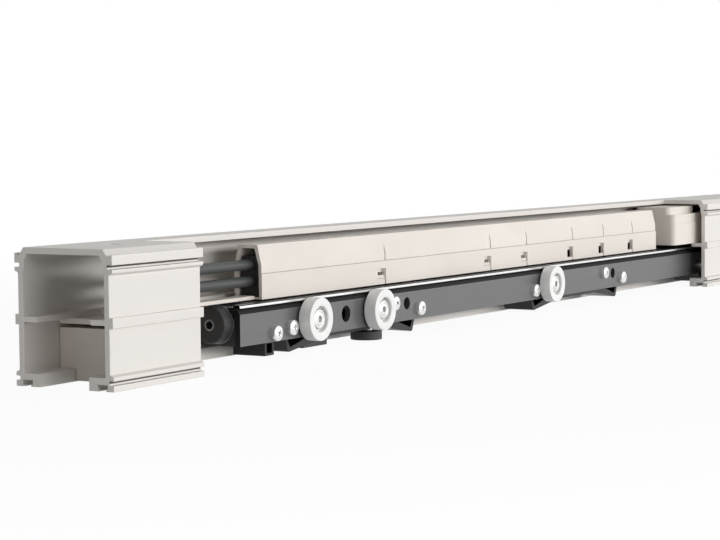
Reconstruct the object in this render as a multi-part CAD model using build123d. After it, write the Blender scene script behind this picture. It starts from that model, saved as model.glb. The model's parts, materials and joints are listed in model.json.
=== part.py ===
from build123d import *
import os

# Sliding door operator: an extruded track beam with a linear motor in its upper chamber and a carriage of
# rollers in its lower one. X runs along the beam, the front is at -Y, Z is up and the beam stands on Z = 0.
# X is counted from the left end here; the model is moved so that its middle is at X = 0 when it is written.

# Track beam: one extrusion, symmetric about its middle plane
beam_length = 1500.0
beam_height = 64.0
beam_depth = 56.4          # over the lips
wall_face = 52.4           # over the plain outer walls
wall_thickness = 2.8
top_thickness = 3.0
top_flat = 45.9
top_soffit = 41.7          # flat underside of the top, between its thickened corners
shelf_bottom = 29.6
shelf_thickness = 2.6
shelf_gap = 31.0           # between the tips of the two mid shelves
flange_thickness = 6.2
flange_gap = 28.2          # the slot that the door hangs through

# Grooves and ribs of the beam's outer faces
corner_drop = 3.8          # the shoulder from the top down to the V groove
corner_reach = 25.5
lip_crest = 61.4
lip_crest_inside = 26.9
clip_slot_top = 56.8
clip_slot_bottom = 54.9
clip_slot_reach = 25.4
lip_foot = 53.2
lip_slant = 1.0
rib_top = 33.2
rib_bottom = 28.4
foot_rib_top = 6.6
foot_slot_top = 4.8
foot_slot_bottom = 2.8
foot_slot_reach = 25.9

# Grooves of the beam's inner faces and underside
bulge_top = 57.9
bulge_inset = 0.8
bulge_bottom = 55.9
bulge_foot = 52.6
tee_slot_inside = 18.6
tee_slot_outside = 24.6
tee_mouth_inside = 19.7
tee_mouth_outside = 23.6
tee_slot_top = 3.0
tee_slot_lip = 0.8

# The window that lays the mechanism open, and the fixing holes on the top's middle line
window_start = 70.0
window_length = 641.2
window_back = 6.3          # the cut's back edge, behind the middle plane
fixing_hole_diameter = 8.0
fixing_hole_inset = 37.0
middle_hole_place = 866.0

# End stops: a block on the bottom flanges, spread against the shelves by two screws and a clamp plate
stop_inset = 25.6
stop_length = 47.4
stop_side_clearance = 0.3
stop_block_top = 25.2
stop_tongue_drop = 5.8
stop_tongue_clearance = 0.3
clamp_thickness = 2.6
stop_screw_diameter = 6.0
stop_screw_inset = 11.0
stop_screw_head = 10.0
stop_screw_head_height = 3.0

# Carriage bar: a channel that is open below, with the rollers on both of its webs
rest_gap = 41.0            # from the left stop to the left buffer, as the door stands here
bar_length = 698.0
bar_width = 27.0
bar_wall = 3.2
bar_bottom = 8.6
bar_shoulder = 24.6
bar_top = 27.8
bar_top_width = 22.6

# Back iron and magnets on top of the bar
iron_thickness = 1.7
magnet_width = 19.0
magnet_thickness = 1.2
magnet_length = 36.0
magnet_gap = 4.0
magnet_end_margin = 9.0

# Buffers
buffer_diameter = 19.4
buffer_length = 7.5
buffer_height = 19.65
buffer_round = 0.8
buffer_bore = 4.9
buffer_block_length = 18.0
buffer_block_clearance = 0.2
buffer_screw_bore = 3.6
buffer_screw_recess = 14.0

# Rollers: a tyre on a ball bearing, held by a shoulderless bolt and a spacer washer
first_roller = 64.0        # from the bar's left end
roller_pair = 66.5         # from the first roller to its twin
last_roller = 65.0         # from the last roller to the bar's right end
truck_count = 3
roller_diameter = 22.8
roller_width = 7.2
roller_round = 0.3
roller_side_gap = 0.9      # between the tyre and the bar's web
roller_running_gap = 0.2   # between the tyre and the flange
bearing_diameter = 13.6
bearing_width = 4.2
bearing_inset = 0.5        # from the tyre's back face
axle_diameter = 6.0
axle_fit = 0.1
side_play = 0.3
axle_head_diameter = 10.5
axle_head_height = 1.2
axle_socket = 3.4
axle_socket_depth = 0.8
axle_end_length = 2.5      # beyond the web, inside the channel
washer_diameter = 9.0

# Pan head screws on the bar's front web
screw_diameter = 5.0
screw_head_diameter = 8.0
screw_head_height = 3.3
screw_head_round = 1.2
screw_length = 9.0
end_screw_back = 17.8      # from a truck's roller back to its end screw
end_screw_height = 14.7
high_screw_place = 88.0
high_screw_height = 19.5
low_screw_place = 117.5
adjuster_place = 104.0     # hole between the two, for the height adjuster
adjuster_height = 18.3
adjuster_diameter = 7.0
pair_hole_place = 37.6
pair_hole_height = 17.5
pair_hole_diameter = 9.0

# Hangers: bent straps below the bar, with a lug inside the channel at each end
strap_thickness = 2.2
strap_fit = 0.1            # between the strap's lugs and the channel's webs
strap_bottom = 1.2
first_strap_back = 15.3    # left leg of the first hanger, from its truck's roller
strap_back = 12.4          # the others' left leg
strap_reach = 118.5        # right leg, from the truck's roller
last_strap_reach = 43.5
strap_rise = 38.0
last_strap_rise = 17.0
strap_bend = 2.0
strap_foot = 2.6           # thickness at the legs' feet
strap_hollow = 21.0        # from a leg to where the run meets the bar
last_strap_hollow = 10.0
leg_lean = 2.8             # the legs' tops stand further out than their feet
lug_top = 23.0
lug_bottom = 9.2
lug_margin = 7.5
hanger_hole_diameter = 6.6
hanger_hole_place = 42.5   # from the truck's roller

# Shoe below the first hanger, and the lock block at the bar's left end
shoe_start = 14.9          # from the first hanger's left leg
shoe_margin = 0.6          # beyond the strap's slanting run
shoe_bottom = 2.0
lock_block_place = 31.3    # from the bar's left end
lock_block_length = 8.6
lock_block_depth = 19.8
lock_block_bottom = 1.2
lock_block_top = 19.5
lock_window_length = 5.2
lock_window_bottom = 2.7
lock_window_top = 7.5
lock_screw_height = 13.0

# Guide rollers: discs below the hangers that run on the edges of the bottom flanges
guide_diameter = 17.7
guide_thickness = 4.9
guide_bottom = 0.3
guide_gap = 0.2
guide_place = 72.7         # from the first truck's roller
guide_round = 0.5
guide_pin_diameter = 5.0
guide_pin_fit = 0.1
guide_pin_head_diameter = 8.0
guide_pin_head_height = 0.9
guide_nut_diameter = 8.0
guide_nut_height = 3.0

# Stators: two slim casings over the magnets, each a base and a snap-on lid
stator_start = 149.0
stator_length = 512.0
second_stator_gap = 38.0   # from the control box
stator_width = 17.0
air_gap = 0.8
casing_wall = 1.8
casing_floor = 1.0
casing_seam = 43.6
lid_shoulder = 47.9
lid_top = 58.3
lid_top_width = 11.8
lid_inset = 0.2
lid_end_step = 1.0
tongue_length = 65.0
tongue_width = 8.0
tongue_thickness = 1.8
latch_places = (120.5, 249.0, 299.0)
vent_places = (367.0, 416.5, 465.5)
latch_window_length = 7.6
latch_window_bottom = 34.9
latch_window_top = 40.6
latch_length = 6.6
latch_thickness = 1.2
latch_foot = 35.1
latch_nib = 1.8
latch_slot = 1.9           # cut through the arm above its nib
latch_slot_side = 0.6      # what stays of the arm on each side of the slot
latch_groove_offset = 4.6
latch_groove_width = 1.2
latch_groove_depth = 0.5
latch_groove_top = 50.5

# Stator core, coils and driver board
core_width = 8.0
core_floor_gap = 0.2
core_start_inset = 26.0
core_end_inset = 8.0
core_back_bottom = 40.5
core_back_top = 46.0
tooth_count = 12
tooth_length = 12.0
coil_wall = 2.0
coil_end_length = 9.0
coil_clearance = 0.1
board_width = 9.4
board_thickness = 1.6
board_post_height = 3.0
board_post_diameter = 3.0
board_end_inset = 34.0
board_part_length = 14.0
board_part_width = 7.0
board_part_height = 2.4
board_part_count = 6

# Angle brackets that stand the stators on the back shelf
bracket_length = 22.0
bracket_thickness = 2.0
bracket_height = 11.0
bracket_wall_gap = 0.6
bracket_places = (70.0, 205.0, 335.0, 445.0)

# Control box between the stators
control_gap = 13.0         # from the first stator
control_length = 173.0
control_depth = 36.0
control_corner = 4.0
control_wall = 2.0
control_seam = 48.0
control_step = 54.4
control_top = 59.8
control_step_length = 47.0  # the raised part at the lid's left end
control_step_inset = 4.0
control_lip = 0.4
control_board_height = 36.0
control_board_margin = 3.0
control_post_diameter = 5.0
capacitor_diameter = 12.0
capacitor_length = 22.0
capacitor_count = 3
capacitor_pitch = 15.0
capacitor_place = 30.0
terminal_length = 40.0
terminal_width = 10.0
terminal_height = 10.0
terminal_place = 110.0

# Motor cables that run along the upper chamber, from a plug on the front shelf to a socket in the first stator
cable_diameter = 5.6
upper_cable_height = 48.0
lower_cable_height = 39.4
cable_start = 62.0
cable_entry = 2.0          # how far the cables reach into the casing
plug_length = 18.0
plug_width = 10.0
plug_height = 18.0
plug_foot_reach = 21.0     # from the middle plane to the foot's front edge
socket_width = 10.0
socket_height = 21.0
socket_core_gap = 0.3

# Places that follow from the sizes above
shelf_top = shelf_bottom + shelf_thickness
flange_top = flange_thickness
window_end = window_start + window_length
stop_face = stop_inset + stop_length
bar_start = stop_face + rest_gap + buffer_length
bar_end = bar_start + bar_length
truck_pitch = (bar_length - first_roller - last_roller) / (truck_count - 1)
trucks = [bar_start + first_roller + truck_pitch * place for place in range(truck_count)]
roller_places = [trucks[0], trucks[0] + roller_pair, trucks[1], trucks[2]]
roller_radius = roller_diameter / 2
roller_height = flange_top + roller_running_gap + roller_radius
web_face = bar_width / 2
roller_back = web_face + roller_side_gap
roller_front = roller_back + roller_width
bearing_back = roller_back + bearing_inset
bearing_front = bearing_back + bearing_width
magnet_top = bar_top + iron_thickness
casing_bottom = magnet_top + air_gap
channel_half = web_face - bar_wall
strap_half = channel_half - strap_fit
inner_wall = wall_face / 2 - wall_thickness
control_start = stator_start + stator_length + control_gap
second_stator_start = control_start + control_length + second_stator_gap
stator_starts = (stator_start, second_stator_start)


def block(x0, x1, y0, y1, z0, z1):
    """A rectangular block between the given limits."""
    middle = ((x0 + x1) / 2, (y0 + y1) / 2, (z0 + z1) / 2)
    return Pos(*middle) * Box(x1 - x0, y1 - y0, z1 - z0)


def along_x(points, x0, x1):
    """A prism along X with the outline of the given (y, z) points."""
    face = Plane.YZ * make_face(Polyline(*points, close=True))
    return Pos(x0, 0, 0) * extrude(face, x1 - x0)


def across_y(points, y0, y1):
    """A prism along Y with the outline of the given (x, z) points."""
    face = make_face(Polyline(*[(x, 0, z) for x, z in points], close=True))
    return Pos(0, y0, 0) * extrude(face, y1 - y0, dir=(0, 1, 0))


def rod_x(x0, x1, y, z, radius):
    return Pos((x0 + x1) / 2, y, z) * Rot(0, 90, 0) * Cylinder(radius, x1 - x0)


def rod_y(x, y0, y1, z, radius):
    return Pos(x, (y0 + y1) / 2, z) * Rot(90, 0, 0) * Cylinder(radius, y1 - y0)


def rod_z(x, y, z0, z1, radius):
    return Pos(x, y, (z0 + z1) / 2) * Cylinder(radius, z1 - z0)


def mirrored(points):
    """The given half outline closed by its mirror image about the middle plane."""
    return points + [(-y, z) for y, z in reversed(points)]


def beam_section():
    """Half of the beam's section, from the top corner down the outside and back up the inside."""
    lip = beam_depth / 2
    wall = wall_face / 2
    tip = flange_gap / 2
    outside = [
        (top_flat / 2, beam_height),
        (corner_reach, beam_height - corner_drop),
        (lip_crest_inside, beam_height - corner_drop),
        (lip_crest_inside, lip_crest),
        (lip, lip_crest),
        (lip, clip_slot_top),
        (clip_slot_reach, clip_slot_top),
        (clip_slot_reach, clip_slot_bottom),
        (lip, clip_slot_bottom),
        (lip, lip_foot),
        (wall, lip_foot - lip_slant),
        (wall, rib_top),
        (lip, rib_top),
        (lip, rib_bottom),
        (wall, rib_bottom),
        (wall, foot_rib_top + lip_slant),
        (lip, foot_rib_top),
        (lip, foot_slot_top),
        (foot_slot_reach, foot_slot_top),
        (foot_slot_reach, foot_slot_bottom),
        (lip, foot_slot_bottom),
        (lip, 0),
    ]
    underside = [
        (tee_mouth_outside, 0),
        (tee_mouth_outside, tee_slot_lip),
        (tee_slot_outside, tee_slot_lip),
        (tee_slot_outside, tee_slot_top),
        (tee_slot_inside, tee_slot_top),
        (tee_slot_inside, tee_slot_lip),
        (tee_mouth_inside, tee_slot_lip),
        (tee_mouth_inside, 0),
        (tip, 0),
        (tip, flange_top),
    ]
    inside = [
        (inner_wall, flange_top),
        (inner_wall, shelf_bottom),
        (shelf_gap / 2, shelf_bottom),
        (shelf_gap / 2, shelf_top),
        (inner_wall, shelf_top),
        (inner_wall, bulge_foot),
        (inner_wall - bulge_inset, bulge_bottom),
        (inner_wall - bulge_inset, bulge_top),
        (top_soffit / 2, beam_height - top_thickness),
    ]
    return mirrored(outside + underside + inside)


def track_beam():
    beam = along_x(beam_section(), 0, beam_length)
    beam -= block(window_start, window_end, -beam_depth, window_back, -beam_height, 2 * beam_height)
    for x in (fixing_hole_inset, middle_hole_place, beam_length - fixing_hole_inset):
        beam -= rod_z(x, 0, beam_height - 2 * top_thickness, 2 * beam_height, fixing_hole_diameter / 2)
    return beam


def stop_range(side):
    """X limits of an end stop: side 0 is the left one and side 1 the right one."""
    if side == 0:
        return stop_inset, stop_face
    return beam_length - stop_face, beam_length - stop_inset


def stop_screw_places(side):
    x0, x1 = stop_range(side)
    return x0 + stop_screw_inset, x1 - stop_screw_inset


def stop_block(side):
    x0, x1 = stop_range(side)
    half = inner_wall - stop_side_clearance
    tongue = flange_gap / 2 - stop_tongue_clearance
    outline = mirrored([
        (half, stop_block_top),
        (half, flange_top),
        (tongue, flange_top),
        (tongue, flange_top - stop_tongue_drop),
    ])
    body = along_x(outline, x0, x1)
    for x in stop_screw_places(side):
        body -= rod_z(x, 0, 0, beam_height, stop_screw_diameter / 2)
        seat = flange_top - stop_tongue_drop + stop_screw_head_height
        body -= rod_z(x, 0, 0, seat, stop_screw_head / 2)
    return body


def stop_clamp(side):
    x0, x1 = stop_range(side)
    half = inner_wall - stop_side_clearance
    return block(x0, x1, -half, half, shelf_bottom - clamp_thickness, shelf_bottom)


def stop_screws():
    screws = []
    head_bottom = flange_top - stop_tongue_drop
    for side in (0, 1):
        for x in stop_screw_places(side):
            shank = rod_z(x, 0, head_bottom, shelf_bottom - clamp_thickness, stop_screw_diameter / 2)
            head = rod_z(x, 0, head_bottom, head_bottom + stop_screw_head_height, stop_screw_head / 2)
            screws.append(shank + head)
    return screws


def lid_section(half, top_half, top, bottom):
    return mirrored([(top_half, top), (half, lid_shoulder), (half, bottom)])


def stator_base(x0):
    half = stator_width / 2
    x1 = x0 + stator_length
    base = block(x0, x1, -half, half, casing_bottom, casing_seam)
    inner = half - casing_wall
    floor_top = casing_bottom + casing_floor
    base -= block(x0 - casing_wall, x1 - casing_wall, -inner, inner, floor_top, beam_height)
    for place in latch_places + vent_places:
        x = x0 + place
        window = latch_window_length / 2
        base -= block(x - window, x + window, -stator_width, 0, latch_window_bottom, latch_window_top)
        groove = x + latch_groove_offset
        side = latch_groove_width / 2
        depth = latch_groove_depth - half
        base -= block(groove - side, groove + side, -stator_width, depth, casing_bottom, latch_window_top)
    if x0 == stator_start:
        tongue = tongue_width / 2
        base += block(x0 - tongue_length, x0, -tongue, tongue, casing_bottom, casing_bottom + tongue_thickness)
    return base


def stator_lid(x0):
    half = stator_width / 2 - lid_inset
    top_half = lid_top_width / 2
    x1 = x0 + stator_length - lid_end_step
    lid = along_x(lid_section(half, top_half, lid_top, casing_seam), x0, x1)
    hollow = lid_section(half - casing_wall, top_half - casing_wall, lid_top - casing_wall, casing_seam)
    lid -= along_x(hollow, x0 - casing_wall, x1 - casing_wall)
    for place in latch_places + vent_places:
        groove = x0 + place + latch_groove_offset
        side = latch_groove_width / 2
        depth = latch_groove_depth - half
        lid -= block(groove - side, groove + side, -stator_width, depth, casing_seam, latch_groove_top)
    inner = stator_width / 2 - casing_wall
    for place in latch_places:
        x = x0 + place
        arm = latch_length / 2
        face = lid_inset - inner
        lid += block(x - arm, x + arm, face, face + latch_thickness, latch_foot, lid_shoulder)
        nib_top = latch_foot + latch_nib
        slot = arm - latch_slot_side
        lid -= block(x - slot, x + slot, face, face + latch_thickness, nib_top, nib_top + latch_slot)
        lid += block(x - arm, x + arm, -half, face, latch_foot, nib_top)
    return lid


def core_range(x0):
    return x0 + core_start_inset, x0 + stator_length - casing_wall - core_end_inset


def tooth_middles(x0):
    start, end = core_range(x0)
    pitch = (end - start) / tooth_count
    return [start + pitch * (number + 0.5) for number in range(tooth_count)]


def stator_core(x0):
    start, end = core_range(x0)
    half = core_width / 2
    foot = casing_bottom + casing_floor
    core = block(start, end, -half, half, core_back_bottom, core_back_top)
    for x in tooth_middles(x0):
        side = tooth_length / 2
        core += block(x - side, x + side, -half, half, foot, core_back_bottom)
    return core


def stator_coils(x0):
    coils = []
    inner = stator_width / 2 - casing_wall - lid_inset - latch_thickness - coil_clearance
    foot = casing_bottom + casing_floor + core_floor_gap
    for x in tooth_middles(x0):
        side = tooth_length / 2 + coil_clearance
        reach = side + coil_end_length
        top = core_back_bottom - coil_clearance
        coil = block(x - reach, x + reach, -inner, inner, foot, top)
        half = core_width / 2 + coil_clearance
        coils.append(coil - block(x - side, x + side, -half, half, casing_bottom, beam_height))
    return coils


def driver_board(x0):
    start, end = core_range(x0)
    x_first = start + board_end_inset
    x_last = end - board_end_inset
    bottom = core_back_top + board_post_height
    half = board_width / 2
    board = block(x_first, x_last, -half, half, bottom, bottom + board_thickness)
    for x in (x_first + board_part_length, (x_first + x_last) / 2, x_last - board_part_length):
        board += rod_z(x, 0, core_back_top, bottom, board_post_diameter / 2)
    pitch = (x_last - x_first) / board_part_count
    for number in range(board_part_count):
        x = x_first + pitch * (number + 0.5)
        side = board_part_length / 2
        width = board_part_width / 2
        top = bottom + board_thickness + board_part_height
        board += block(x - side, x + side, -width, width, bottom + board_thickness, top)
    return board


def stator_brackets():
    brackets = []
    face = stator_width / 2
    back = inner_wall - bracket_wall_gap
    top = shelf_top + bracket_thickness
    for x0 in stator_starts:
        for place in bracket_places:
            x = x0 + place
            side = bracket_length / 2
            foot = block(x - side, x + side, face, back, shelf_top, top)
            upright = block(x - side, x + side, face, face + bracket_thickness, top, top + bracket_height)
            brackets.append(foot + upright)
    return brackets


def rounded_box(x0, x1, half, z0, z1, corner):
    face = make_face(Rectangle(x1 - x0, 2 * half).edges())
    face = fillet(face.vertices(), corner)
    return Pos((x0 + x1) / 2, 0, z0) * extrude(face, z1 - z0)


def control_base():
    x1 = control_start + control_length
    half = control_depth / 2
    outer = rounded_box(control_start, x1, half, shelf_top, control_seam, control_corner)
    inner = rounded_box(
        control_start + control_wall, x1 - control_wall, half - control_wall,
        shelf_top + control_wall, control_top, control_corner - control_wall,
    )
    return outer - inner


def control_lid():
    x1 = control_start + control_length
    half = control_depth / 2 - control_lip
    x0 = control_start + control_lip
    x1 -= control_lip
    lid = rounded_box(x0, x1, half, control_seam, control_step, control_corner)
    step_x1 = x0 + control_step_length
    lid += rounded_box(x0, step_x1, half - control_step_inset, control_step, control_top, control_corner)
    lid -= rounded_box(
        x0 + control_wall, x1 - control_wall, half - control_wall,
        control_seam, control_step - control_wall, control_corner - control_wall,
    )
    return lid


def control_board():
    x0 = control_start + control_wall + control_board_margin
    x1 = control_start + control_length - control_wall - control_board_margin
    half = control_depth / 2 - control_wall - control_board_margin
    top = control_board_height + board_thickness
    board = block(x0, x1, -half, half, control_board_height, top)
    floor = shelf_top + control_wall
    inset = control_post_diameter
    for x in (x0 + inset, x1 - inset):
        for y in (inset - half, half - inset):
            board += rod_z(x, y, floor, control_board_height, control_post_diameter / 2)
    return board


def control_capacitors():
    parts = []
    z = control_board_height + board_thickness + capacitor_diameter / 2
    for number in range(capacitor_count):
        x = control_start + capacitor_place + capacitor_pitch * number
        parts.append(rod_y(x, -capacitor_length / 2, capacitor_length / 2, z, capacitor_diameter / 2))
    return parts


def control_terminals():
    x0 = control_start + terminal_place
    z0 = control_board_height + board_thickness
    half = terminal_width / 2
    return block(x0, x0 + terminal_length, -half, half, z0, z0 + terminal_height)


def power_cable(height):
    end = stator_start + cable_entry
    return rod_x(cable_start, end, 0, height, cable_diameter / 2)


def cable_plug():
    x0 = cable_start - plug_length
    half = plug_width / 2
    middle = (upper_cable_height + lower_cable_height) / 2
    top = middle + plug_height / 2
    body = block(x0, cable_start, -half, half, middle - plug_height / 2, top)
    foot = block(x0, cable_start, -plug_foot_reach, half, shelf_top, middle - plug_height / 2)
    return body + foot


def cable_socket():
    x0 = stator_start + cable_entry
    x1 = core_range(stator_start)[0] - socket_core_gap
    half = socket_width / 2
    foot = casing_bottom + casing_floor
    return block(x0, x1, -half, half, foot, foot + socket_height)


def bar_section():
    """The channel: two webs, a bevel above each and a flat top."""
    outside = [(bar_top_width / 2, bar_top), (web_face, bar_shoulder), (web_face, bar_bottom)]
    inside = [
        (channel_half, bar_bottom),
        (channel_half, bar_shoulder - bar_wall / 2),
        (bar_top_width / 2 - bar_wall / 2, bar_top - bar_wall),
    ]
    return mirrored(outside + inside)


def screw_spots():
    """X and Z of every pan head screw on the front web."""
    spots = [(bar_start + lock_block_place, lock_screw_height)]
    for truck in trucks:
        spots.append((truck - end_screw_back, end_screw_height))
    for truck in trucks[:-1]:
        spots.append((truck + high_screw_place, high_screw_height))
        spots.append((truck + low_screw_place, end_screw_height))
    spots.append((last_lug_middle(), end_screw_height))
    return spots


def last_lug_middle():
    return trucks[-1] + last_strap_reach - lug_margin


def carriage_bar():
    bar = along_x(bar_section(), bar_start, bar_end)
    for x in roller_places:
        bar -= rod_y(x, -bar_width, bar_width, roller_height, axle_diameter / 2)
    for x, z in screw_spots():
        bar -= rod_y(x, -bar_width, 0, z, screw_diameter / 2)
    for truck in trucks[:-1]:
        bar -= rod_y(truck + adjuster_place, -bar_width, 0, adjuster_height, adjuster_diameter / 2)
    pair_hole = trucks[0] + pair_hole_place
    bar -= rod_y(pair_hole, -bar_width, 0, pair_hole_height, pair_hole_diameter / 2)
    return bar


def back_iron():
    iron = block(bar_start, bar_end, -web_face, web_face, bar_top, magnet_top)
    half = magnet_width / 2
    floor = magnet_top - magnet_thickness
    return iron - block(bar_start, bar_end, -half, half, floor, magnet_top)


def magnets():
    parts = []
    pitch = magnet_length + magnet_gap
    run = bar_length - 2 * magnet_end_margin
    count = int((run + magnet_gap) // pitch)
    start = bar_start + (bar_length - count * pitch + magnet_gap) / 2
    half = magnet_width / 2
    for number in range(count):
        x = start + pitch * number
        parts.append(block(x, x + magnet_length, -half, half, magnet_top - magnet_thickness, magnet_top))
    return parts


def buffer(side):
    x0 = bar_start - buffer_length if side == 0 else bar_end
    disc = rod_x(x0, x0 + buffer_length, 0, buffer_height, buffer_diameter / 2)
    rim = disc.edges().filter_by(GeomType.CIRCLE).sort_by(Axis.X)[0 if side == 0 else -1]
    disc = chamfer(rim, buffer_round)
    return disc - rod_x(x0, x0 + buffer_length, 0, buffer_height, buffer_bore / 2)


def buffer_block(side):
    x0 = bar_start if side == 0 else bar_end - buffer_block_length
    half = channel_half
    top = bar_shoulder - bar_wall / 2
    return block(x0, x0 + buffer_block_length, -half, half, bar_bottom, top) - rod_x(
        x0, x0 + buffer_block_length, 0, buffer_height, buffer_bore / 2
    )


def buffer_screws():
    """Tubular steel screws that hold the buffers, with a bore in the end that shows."""
    screws = []
    face = bar_start - buffer_length
    end = bar_start + buffer_block_length
    left = rod_x(face + buffer_block_clearance, end, 0, buffer_height, buffer_bore / 2)
    left -= rod_x(face, face + buffer_screw_recess, 0, buffer_height, buffer_screw_bore / 2)
    screws.append(left)
    face = bar_end + buffer_length
    end = bar_end - buffer_block_length
    right = rod_x(end, face - buffer_block_clearance, 0, buffer_height, buffer_bore / 2)
    right -= rod_x(face - buffer_screw_recess, face, 0, buffer_height, buffer_screw_bore / 2)
    screws.append(right)
    return screws


def hanger(number):
    """A bent strap: two leaning legs, the slanting runs up to the bar, and a lug over each leg."""
    truck = trucks[number]
    last = number == truck_count - 1
    left = truck - (first_strap_back if number == 0 else strap_back)
    right = truck + (last_strap_reach if last else strap_reach)
    rise = last_strap_rise if last else strap_rise
    hollow = last_strap_hollow if last else strap_hollow
    low = bar_bottom - strap_thickness
    inner_corner = strap_bottom + strap_foot
    outline = [
        (left - leg_lean, lug_bottom),
        (left - leg_lean, bar_bottom),
        (left, strap_bottom),
        (left + rise, low),
        (right - rise, low),
        (right - leg_lean, strap_bottom),
        (right, bar_bottom),
        (right, lug_bottom),
        (right - strap_thickness, lug_bottom),
        (right - strap_thickness, bar_bottom),
        (right - leg_lean - strap_thickness, inner_corner),
        (right - hollow, bar_bottom),
        (left + hollow, bar_bottom),
        (left + strap_thickness, inner_corner),
        (left - leg_lean + strap_thickness, bar_bottom),
        (left - leg_lean + strap_thickness, lug_bottom),
    ]
    strap = across_y(outline, -strap_half, strap_half)
    corners = strap.edges().filter_by(Axis.Y).sort_by(Axis.Z)[:2]
    strap = fillet(corners, strap_bend)
    end_screw = truck - end_screw_back
    lug = block(end_screw - lug_margin, left + strap_thickness, -strap_half, strap_half, lug_bottom, lug_top)
    strap += lug
    first = last_lug_middle() if last else truck + high_screw_place
    strap += block(first - lug_margin, right, -strap_half, strap_half, lug_bottom, lug_top)
    spots = [(end_screw, end_screw_height)]
    if last:
        spots.append((last_lug_middle(), end_screw_height))
    else:
        spots.append((truck + high_screw_place, high_screw_height))
        spots.append((truck + low_screw_place, end_screw_height))
        strap -= rod_y(truck + adjuster_place, -bar_width, 0, adjuster_height, adjuster_diameter / 2)
    for x, z in spots:
        strap -= rod_y(x, -bar_width, screw_length - web_face, z, screw_diameter / 2)
    if number != 1:
        strap -= rod_z(guide_x(number), guide_y(number), 0, lug_bottom, guide_pin_diameter / 2)
    if not last:
        strap -= rod_z(truck + hanger_hole_place, 0, 0, lug_bottom, hanger_hole_diameter / 2)
    return strap


def guide_x(number):
    """X of a guide roller: the first is below the first hanger, the other in the middle of the last."""
    if number == 0:
        return trucks[0] + guide_place
    return trucks[-1] + (last_strap_reach - strap_back) / 2


def guide_y(number):
    """The first guide roller runs on the front flange's edge, the other on the back one's."""
    offset = flange_gap / 2 - guide_gap - guide_diameter / 2
    return -offset if number == 0 else offset


def guide_roller(number):
    x, y = guide_x(number), guide_y(number)
    disc = rod_z(x, y, guide_bottom, guide_bottom + guide_thickness, guide_diameter / 2)
    disc = chamfer(disc.edges().filter_by(GeomType.CIRCLE), guide_round)
    disc -= rod_z(x, y, 0, beam_height, guide_pin_diameter / 2 + guide_pin_fit)
    recess = guide_bottom + guide_pin_head_height
    return disc - rod_z(x, y, 0, recess + side_play, guide_pin_head_diameter / 2 + side_play)


def guide_pins():
    pins = []
    for number in (0, truck_count - 1):
        x, y = guide_x(number), guide_y(number)
        head_top = guide_bottom + guide_pin_head_height
        pin = rod_z(x, y, guide_bottom, bar_bottom + guide_nut_height, guide_pin_diameter / 2)
        pin += rod_z(x, y, guide_bottom, head_top, guide_pin_head_diameter / 2)
        collar_bottom = guide_bottom + guide_thickness + side_play
        pin += rod_z(x, y, collar_bottom, bar_bottom - strap_thickness, guide_pin_head_diameter / 2)
        pin += rod_z(x, y, bar_bottom, bar_bottom + guide_nut_height, guide_nut_diameter / 2)
        pins.append(pin)
    return pins


def shoe_block():
    left = trucks[0] - first_strap_back
    low = bar_bottom - strap_thickness
    start = left + shoe_start
    end = left + strap_rise + shoe_margin
    slant = strap_bottom + (low - strap_bottom) * shoe_start / strap_rise
    outline = [(start, shoe_bottom), (end, shoe_bottom), (end, low), (left + strap_rise, low), (start, slant)]
    return across_y(outline, -strap_half, strap_half)


def lock_block():
    middle = bar_start + lock_block_place
    side = lock_block_length / 2
    back = lock_block_depth - strap_half
    body = block(middle - side, middle + side, -strap_half, back, lock_block_bottom, lock_block_top)
    window = lock_window_length / 2
    body -= block(middle - window, middle + window, -bar_width, bar_width, lock_window_bottom, lock_window_top)
    return body - rod_y(middle, -bar_width, screw_length - web_face, lock_screw_height, screw_diameter / 2)


def pan_screw(x, z):
    face = -web_face - screw_head_height
    head = rod_y(x, face, -web_face, z, screw_head_diameter / 2)
    rim = head.edges().filter_by(GeomType.CIRCLE).sort_by(Axis.Y)[0]
    head = chamfer(rim, screw_head_round)
    return head + rod_y(x, -web_face, screw_length - web_face, z, screw_diameter / 2)


def carriage_screws():
    return [pan_screw(x, z) for x, z in screw_spots()]


def axle_parts(x, side):
    """An axle bolt and its spacer washer: side is -1 at the front and 1 at the back."""
    def rod(near, far, radius):
        ends = sorted((side * near, side * far))
        return rod_y(x, ends[0], ends[1], roller_height, radius)

    head = bearing_front + side_play
    bolt = rod(web_face - bar_wall - axle_end_length, head, axle_diameter / 2)
    bolt += rod(head, head + axle_head_height, axle_head_diameter / 2)
    face = head + axle_head_height
    socket = extrude(Plane.XZ * RegularPolygon(axle_socket / 2, 6), axle_socket_depth, both=True)
    bolt -= Pos(x, side * face, roller_height) * socket
    washer = rod(web_face, bearing_back - side_play, washer_diameter / 2)
    return [bolt, washer - rod(web_face, bearing_back, axle_diameter / 2)]


def axle_bolts():
    parts = []
    for x in roller_places:
        parts += axle_parts(x, -1) + axle_parts(x, 1)
    return parts


def roller(x, side):
    near, far = sorted((side * roller_back, side * roller_front))
    tyre = rod_y(x, near, far, roller_height, roller_radius)
    tyre = chamfer(tyre.edges().filter_by(GeomType.CIRCLE), roller_round)
    return tyre - rod_y(x, near, far, roller_height, bearing_diameter / 2)


def bearing(x, side):
    near, far = sorted((side * bearing_back, side * bearing_front))
    ring = rod_y(x, near, far, roller_height, bearing_diameter / 2)
    return ring - rod_y(x, near, far, roller_height, axle_diameter / 2 + axle_fit)


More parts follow.
